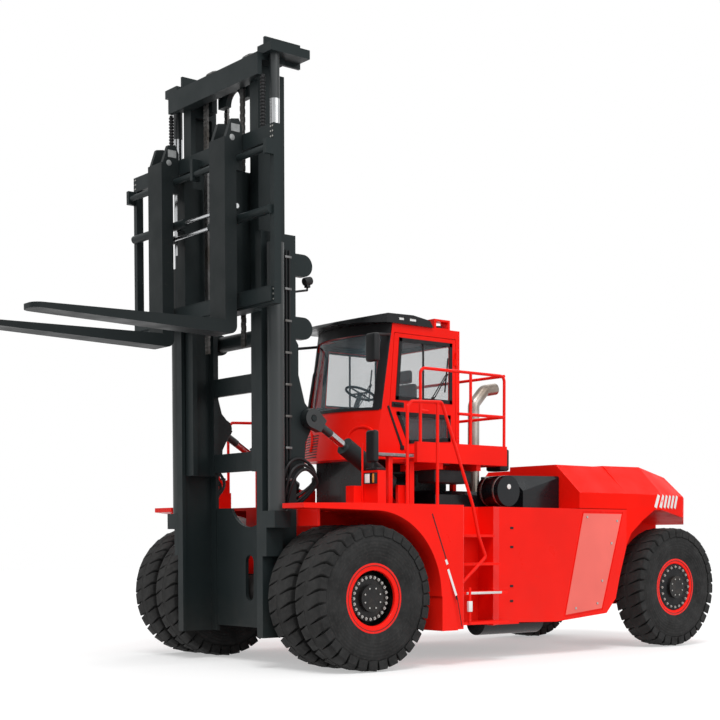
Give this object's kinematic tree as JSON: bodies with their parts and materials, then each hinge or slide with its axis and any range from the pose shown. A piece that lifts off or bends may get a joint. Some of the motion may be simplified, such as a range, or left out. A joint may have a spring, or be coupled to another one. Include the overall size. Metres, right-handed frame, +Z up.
{
  "type": "heavy counterbalance forklift truck",
  "caption": "Heavy diesel counterbalance forklift with raised two-stage mast, wide fork carriage, central cab, side walkway with rails, twin front tyres and steered rear wheels.",
  "frame": {"origin": "centre of the bounding box on the ground", "axes": "minus Y is the truck's forward direction toward the fork tips, plus X is the truck's left, plus Z is up"},
  "size_m": [4.4, 11.5, 7.9],
  "materials": {
    "red_paint": "gloss",
    "mast_paint": "satin",
    "black_paint": "gloss",
    "cast_grey": "rough",
    "tyre_rubber": "matte",
    "cylinder_grey": "satin",
    "rod_chrome": "polished",
    "chain_steel": "oiled",
    "stack_steel": "satin",
    "cab_glass": "clear",
    "black_plastic": "matte",
    "seat_cloth": "woven",
    "lamp_lens": "clear",
    "fork_paint": "satin"
  },
  "bodies": {
    "chassis": {"frame": "red_paint", "drive_axle": "cast_grey", "steer_axle": "cast_grey", "fender_left": "red_paint", "fender_right": "red_paint", "side_left": "red_paint", "side_right": "red_paint", "counterweight": "red_paint", "engine": "cast_grey", "hood": "black_paint", "air_drum": "black_paint", "low_tanks": "black_paint", "exhaust": "stack_steel", "cab": "red_paint", "cab_base": "black_paint", "cab_visor": "black_plastic", "cab_glass": "cab_glass", "seat": "seat_cloth", "controls": "black_plastic", "walkway": "red_paint", "rails": "red_paint", "handrails": "red_paint", "lamps": "lamp_lens", "mirrors": "black_plastic"},
    "outer_mast": {"mast_outer": "mast_paint", "lift_barrels": "cylinder_grey"},
    "inner_mast": {"mast_inner": "mast_paint", "lift_rods": "rod_chrome", "pulleys": "chain_steel", "lift_chains": "chain_steel"},
    "carriage": {"carriage": "mast_paint"},
    "fork_left": {"fork_left": "fork_paint"},
    "fork_right": {"fork_right": "fork_paint"},
    "tilt_barrel_left": {"tilt_barrel_left": "mast_paint"},
    "tilt_barrel_right": {"tilt_barrel_right": "mast_paint"},
    "tilt_rod_left": {"tilt_rod_left": "rod_chrome"},
    "tilt_rod_right": {"tilt_rod_right": "rod_chrome"},
    "wheels_front_left": {"tyre_front_left": "tyre_rubber", "rim_front_left": "red_paint"},
    "wheels_front_right": {"tyre_front_right": "tyre_rubber", "rim_front_right": "red_paint"},
    "knuckle_left": {"knuckle_left": "cast_grey"},
    "knuckle_right": {"knuckle_right": "cast_grey"},
    "wheel_rear_left": {"tyre_rear_left": "tyre_rubber", "rim_rear_left": "red_paint"},
    "wheel_rear_right": {"tyre_rear_right": "tyre_rubber", "rim_rear_right": "red_paint"},
    "door_left": {"door_left": "red_paint", "door_glass_left": "cab_glass"},
    "door_right": {"door_right": "red_paint", "door_glass_right": "cab_glass"}
  },
  "joints": [
    {"name": "mast_tilt", "type": "hinge", "parent": "chassis", "child": "outer_mast", "pos_m": [0, -2.34, 0.69], "axis": [1, 0, 0], "range_deg": [-10, 5]},
    {"name": "mast_raise", "type": "slide", "parent": "outer_mast", "child": "inner_mast", "axis": [0, 0, 1], "range_m": [-2.07, 0]},
    {"name": "carriage_raise", "type": "slide", "parent": "inner_mast", "child": "carriage", "axis": [0, 0, 1], "range_m": [-2.07, 0]},
    {"name": "fork_left_shift", "type": "slide", "parent": "carriage", "child": "fork_left", "axis": [1, 0, 0], "range_m": [-0.56, 0.56]},
    {"name": "fork_right_shift", "type": "slide", "parent": "carriage", "child": "fork_right", "axis": [1, 0, 0], "range_m": [-0.77, 0.37]},
    {"name": "tilt_barrel_left_pivot", "type": "hinge", "parent": "chassis", "child": "tilt_barrel_left", "pos_m": [1.1, -0.49, 2.285], "axis": [1, 0, 0], "range_deg": [-6.2, 3.2]},
    {"name": "tilt_rod_left_slide", "type": "slide", "parent": "tilt_barrel_left", "child": "tilt_rod_left", "axis": [0, -0.8514, 0.5246], "range_m": [-0.43, 0.22]},
    {"name": "tilt_barrel_right_pivot", "type": "hinge", "parent": "chassis", "child": "tilt_barrel_right", "pos_m": [-1.1, -0.49, 2.285], "axis": [1, 0, 0], "range_deg": [-6.2, 3.2]},
    {"name": "tilt_rod_right_slide", "type": "slide", "parent": "tilt_barrel_right", "child": "tilt_rod_right", "axis": [0, -0.8514, 0.5246], "range_m": [-0.43, 0.22]},
    {"name": "wheels_front_left_spin", "type": "hinge", "parent": "chassis", "child": "wheels_front_left", "pos_m": [1.665, -1.8, 0.92], "axis": [1, 0, 0], "continuous": true},
    {"name": "steer_left", "type": "hinge", "parent": "chassis", "child": "knuckle_left", "pos_m": [1.12, 4.6, 0.92], "axis": [0, 0, 1], "range_deg": [-50, 50]},
    {"name": "wheel_rear_left_spin", "type": "hinge", "parent": "knuckle_left", "child": "wheel_rear_left", "pos_m": [1.48, 4.6, 0.92], "axis": [1, 0, 0], "continuous": true},
    {"name": "wheels_front_right_spin", "type": "hinge", "parent": "chassis", "child": "wheels_front_right", "pos_m": [-1.665, -1.8, 0.92], "axis": [1, 0, 0], "continuous": true},
    {"name": "steer_right", "type": "hinge", "parent": "chassis", "child": "knuckle_right", "pos_m": [-1.12, 4.6, 0.92], "axis": [0, 0, 1], "range_deg": [-50, 50]},
    {"name": "wheel_rear_right_spin", "type": "hinge", "parent": "knuckle_right", "child": "wheel_rear_right", "pos_m": [-1.48, 4.6, 0.92], "axis": [1, 0, 0], "continuous": true},
    {"name": "door_left_swing", "type": "hinge", "parent": "chassis", "child": "door_left", "pos_m": [0.848, 0.764, 3.6], "axis": [0, 0, 1], "range_deg": [0, 28]},
    {"name": "door_right_swing", "type": "hinge", "parent": "chassis", "child": "door_right", "pos_m": [-0.848, 0.764, 3.6], "axis": [0, 0, 1], "range_deg": [-85, 0]}
  ],
  "couplings": [
    {"joint": "carriage_raise", "follows": "mast_raise", "ratio": 1},
    {"joint": "tilt_barrel_left_pivot", "follows": "mast_tilt", "ratio": 0.59},
    {"joint": "tilt_rod_left_slide", "follows": "mast_tilt", "m_per_rad": 2.34},
    {"joint": "tilt_barrel_right_pivot", "follows": "mast_tilt", "ratio": 0.59},
    {"joint": "tilt_rod_right_slide", "follows": "mast_tilt", "m_per_rad": 2.34},
    {"joint": "steer_right", "follows": "steer_left", "ratio": 1}
  ]
}
